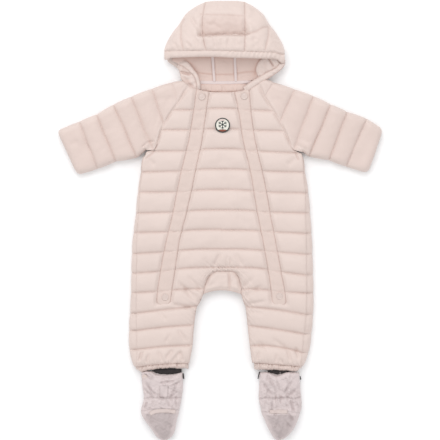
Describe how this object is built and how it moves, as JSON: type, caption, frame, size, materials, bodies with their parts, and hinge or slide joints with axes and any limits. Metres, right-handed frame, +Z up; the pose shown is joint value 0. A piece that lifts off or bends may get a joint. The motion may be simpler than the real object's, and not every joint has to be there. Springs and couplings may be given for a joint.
{
  "type": "baby down snowsuit",
  "caption": "Quilted down suit for a baby, laid flat on its back: padded hood, sleeves closed as mitts, two slanting front zips under flaps, and separate soft booties at the leg hems.",
  "frame": {"origin": "centre of the bounding box's underside, on the surface that the suit lies on", "axes": "+X to the wearer's left, +Y from the feet to the hood, +Z up out of the suit's front"},
  "size_m": [0.6057, 0.8378, 0.0518],
  "materials": {
    "shell_nylon": "pale pink down-proof nylon with a soft sheen",
    "lining_cloth": "pale pink lining and zip tape, a little darker than the shell",
    "bootie_taffeta": "smooth greyish pink taffeta and seam tape",
    "dark_tape": "black woven tape",
    "snap_plastic": "pale pink moulded stud",
    "woven_patch": "off-white woven patch with a dark ring"
  },
  "bodies": {
    "root": {"front": "shell_nylon", "gusset": "shell_nylon", "back": "shell_nylon", "placket_right": "shell_nylon", "zip_right": "lining_cloth", "placket_left": "shell_nylon", "zip_left": "lining_cloth", "snap_top_right": "snap_plastic", "snap_top_left": "snap_plastic", "snap_bottom_right": "snap_plastic", "snap_bottom_left": "snap_plastic", "chest_patch": "woven_patch", "sleeve_right": "shell_nylon", "sleeve_left": "shell_nylon", "hem_right": "shell_nylon", "hem_left": "shell_nylon", "boot_shaft_right": "bootie_taffeta", "boot_vamp_right": "bootie_taffeta", "boot_toe_right": "bootie_taffeta", "boot_shaft_left": "bootie_taffeta", "boot_vamp_left": "bootie_taffeta", "boot_toe_left": "bootie_taffeta", "boot_tab_right": "bootie_taffeta", "hem_tape_right": "dark_tape", "hem_tape_left": "dark_tape", "boot_strap_inner_right": "dark_tape", "boot_strap_inner_left": "dark_tape", "boot_strap_outer_left": "dark_tape", "hood_side_right": "shell_nylon", "hood_side_left": "shell_nylon", "hood_centre": "shell_nylon", "hood_brim": "shell_nylon", "hood_lining": "lining_cloth", "lining_tape_right": "bootie_taffeta", "lining_tape_left": "bootie_taffeta", "neck_tape": "bootie_taffeta", "neck_facing": "lining_cloth", "face_edge_right": "shell_nylon", "face_edge_left": "shell_nylon", "hood_fold_right": "shell_nylon", "lining_side_left": "lining_cloth"}
  },
  "joints": []
}
